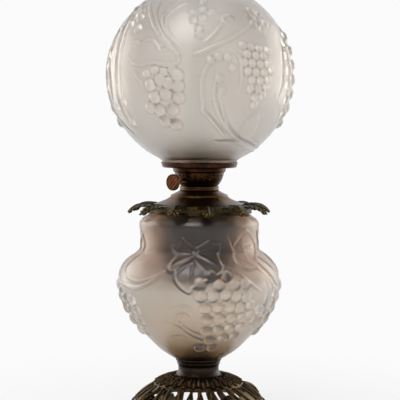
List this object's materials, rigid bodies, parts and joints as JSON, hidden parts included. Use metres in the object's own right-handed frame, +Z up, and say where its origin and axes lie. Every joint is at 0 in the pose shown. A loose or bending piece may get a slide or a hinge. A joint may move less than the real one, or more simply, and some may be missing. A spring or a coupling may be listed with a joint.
{
  "type": "parlor lamp",
  "caption": "Oil parlor lamp: satin glass ball globe over a centre-draught burner, lift-out font in a moulded glass body with raised grapes, on a pierced cast brass foot.",
  "frame": {"origin": "centre of the feet on the floor, under the lamp's axis", "axes": "+Z up along the lamp's axis, -Y the front, +X to the right"},
  "size_m": [0.2626, 0.2612, 0.6123],
  "materials": {
    "dark_bronze": "dark patinated spun brass",
    "antique_brass": "antique cast brass, dark in the recesses",
    "olive_bronze": "olive brown patinated sheet brass",
    "plain_brass": "dull machined brass",
    "tarnished_brass": "tarnished sheet brass, seldom handled",
    "copper_brass": "coppery knurled brass",
    "satin_glass": "acid satin, translucent",
    "clear_glass": "clear, polished",
    "plaster": "matt plaster",
    "gasket_leather": "oiled washer leather",
    "cotton": "woven cotton wick"
  },
  "bodies": {
    "lamp_base": {"foot_casting": "antique_brass", "leaf_collar": "antique_brass", "stem_collar": "dark_bronze", "glass_cup": "dark_bronze", "seat_gasket": "gasket_leather", "tie_tube": "tarnished_brass", "bottom_washer": "plain_brass", "bottom_nut": "plain_brass", "glass_body": "satin_glass", "top_gasket": "gasket_leather", "top_washer": "tarnished_brass", "top_nut": "tarnished_brass", "crown_plaster": "plaster", "crown_ring": "antique_brass"},
    "font": {"font_tank": "tarnished_brass", "font_dome": "olive_bronze", "filler_neck": "plain_brass", "draft_tube": "tarnished_brass", "wick_tube": "plain_brass", "shaft_bushing": "plain_brass", "burner_collar": "dark_bronze", "burner_bowl": "dark_bronze", "chimney_gallery": "plain_brass"},
    "wick_wheel": {"wick_wheel": "copper_brass", "wick_shaft": "plain_brass", "wick_pinion": "plain_brass"},
    "wick": {"wick": "cotton", "wick_carrier": "plain_brass"},
    "flame_spreader": {"spreader_tube": "plain_brass", "spreader_cap": "plain_brass"},
    "chimney": {"chimney": "clear_glass"},
    "shade_ring": {"shade_ring": "dark_bronze"},
    "globe": {"globe": "satin_glass"},
    "filler_cap": {"filler_cap": "plain_brass", "filler_gasket": "gasket_leather"}
  },
  "joints": [
    {"name": "font_lift", "type": "slide", "parent": "lamp_base", "child": "font", "axis": [0, 0, 1], "range_m": [0, 0.12]},
    {"name": "wick_wheel_turn", "type": "hinge", "parent": "font", "child": "wick_wheel", "pos_m": [-0.03535, -0.04213, 0.3432], "axis": [-0.6428, -0.766, 0], "range_deg": [-172, 115]},
    {"name": "wick_lift", "type": "slide", "parent": "font", "child": "wick", "axis": [0, 0, 1], "range_m": [-0.012, 0.008]},
    {"name": "spreader_lift", "type": "slide", "parent": "font", "child": "flame_spreader", "axis": [0, 0, 1], "range_m": [0, 0.05]},
    {"name": "chimney_lift", "type": "slide", "parent": "font", "child": "chimney", "axis": [0, 0, 1], "range_m": [0, 0.15]},
    {"name": "shade_ring_lift", "type": "slide", "parent": "font", "child": "shade_ring", "axis": [0, 0, 1], "range_m": [0, 0.04]},
    {"name": "globe_lift", "type": "slide", "parent": "shade_ring", "child": "globe", "axis": [0, 0, 1], "range_m": [0, 0.27]},
    {"name": "filler_cap_turn", "type": "hinge", "parent": "font", "child": "filler_cap", "pos_m": [0.00834, 0.04727, 0.33], "axis": [0, 0, 1], "range_deg": [0, 540]}
  ],
  "couplings": [
    {"joint": "wick_wheel_turn", "follows": "wick_lift", "rad_per_m": 250}
  ]
}
